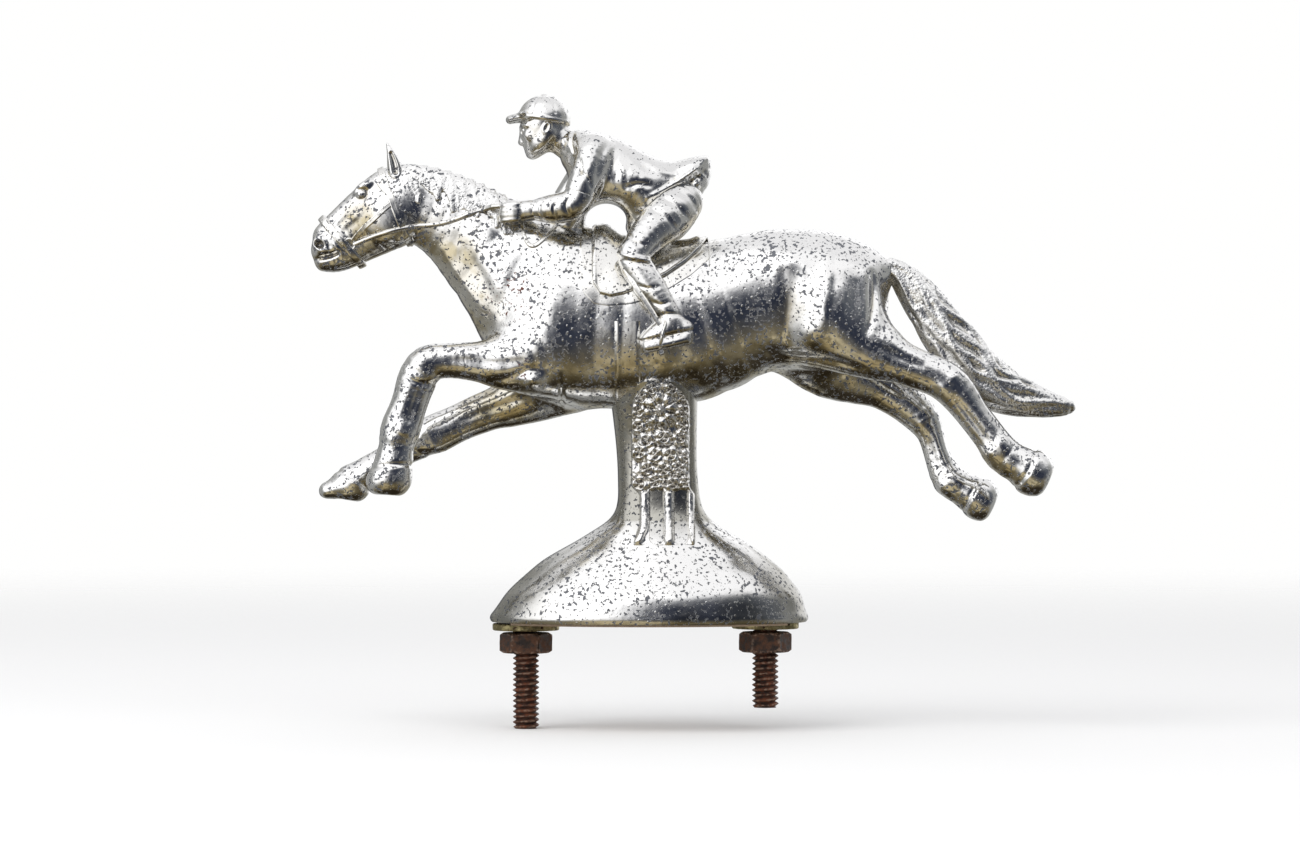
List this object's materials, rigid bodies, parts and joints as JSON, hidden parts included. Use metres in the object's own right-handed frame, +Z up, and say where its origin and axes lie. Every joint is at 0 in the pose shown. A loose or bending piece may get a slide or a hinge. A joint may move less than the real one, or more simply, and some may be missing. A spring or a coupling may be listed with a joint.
{
  "type": "hood ornament",
  "caption": "Galloping racehorse and rider on a flower-panelled column over a domed oval foot, held down by threaded studs, washers and nuts.",
  "frame": {"origin": "middle of the gasket's underside, the face that lies on the hood", "axes": "+Z up, away from the hood; the horse gallops towards -X; its near (left) side faces -Y"},
  "size_m": [0.1828, 0.0414, 0.1509],
  "materials": {
    "plated_foot": "pitted bright chrome plate with dark specks",
    "plated_column": "worn chrome plate, darker and yellowed in its recesses",
    "flower_relief": "bright worn relief with dark hollows",
    "plated_horse": "pitted bright chrome plate, yellowed underneath",
    "plated_hair": "pitted chrome plate over fine strands",
    "plated_tack": "pitted chrome plate with dark edges",
    "plated_rider": "pitted bright chrome plate with dark folds",
    "gasket_fibre": "thin brown fibre sheet",
    "rusty_stud": "dark rusty steel thread",
    "rusty_nut": "dark rusty steel",
    "worn_brass": "dull olive brass plating"
  },
  "bodies": {
    "ornament": {"foot": "plated_foot", "gasket": "gasket_fibre", "front_stud": "rusty_stud", "rear_stud": "rusty_stud", "column": "plated_column", "near_flower_panel": "flower_relief", "off_flower_panel": "flower_relief", "horse_body": "plated_horse", "horse_neck": "plated_horse", "mane": "plated_hair", "horse_head": "plated_horse", "near_ear": "plated_horse", "off_ear": "plated_horse", "tail": "plated_hair", "near_foreleg": "plated_horse", "off_foreleg": "plated_horse", "near_hind_leg": "plated_horse", "off_hind_leg": "plated_horse", "saddle_cloth": "plated_tack", "saddle": "plated_tack", "girth": "plated_tack", "bridle": "plated_tack", "near_rein": "plated_tack", "off_rein": "plated_tack", "near_stirrup": "plated_tack", "off_stirrup": "plated_tack", "rider_jacket": "plated_rider", "rider_head": "plated_rider", "rider_cap": "plated_rider", "near_arm": "plated_rider", "off_arm": "plated_rider", "near_leg": "plated_rider", "off_leg": "plated_rider"},
    "front_washer": {"front_washer": "worn_brass"},
    "front_nut": {"front_nut": "rusty_nut"},
    "rear_washer": {"rear_washer": "worn_brass"},
    "rear_nut": {"rear_nut": "rusty_nut"}
  },
  "joints": [
    {"name": "front_washer_slide", "type": "slide", "parent": "ornament", "child": "front_washer", "axis": [0, 0, -1], "range_m": [0, 0.01778]},
    {"name": "front_nut_spin", "type": "hinge", "parent": "front_washer", "child": "front_nut", "pos_m": [-0.02937, 0, -0.0045], "axis": [0, 0, 1], "range_deg": [0, 5040]},
    {"name": "rear_washer_slide", "type": "slide", "parent": "ornament", "child": "rear_washer", "axis": [0, 0, -1], "range_m": [0, 0.0127]},
    {"name": "rear_nut_spin", "type": "hinge", "parent": "rear_washer", "child": "rear_nut", "pos_m": [0.02778, 0, -0.0043], "axis": [0, 0, 1], "range_deg": [0, 3600]}
  ],
  "couplings": [
    {"joint": "front_nut_spin", "follows": "front_washer_slide", "rad_per_m": 4947.4},
    {"joint": "rear_nut_spin", "follows": "rear_washer_slide", "rad_per_m": 4947.4}
  ]
}
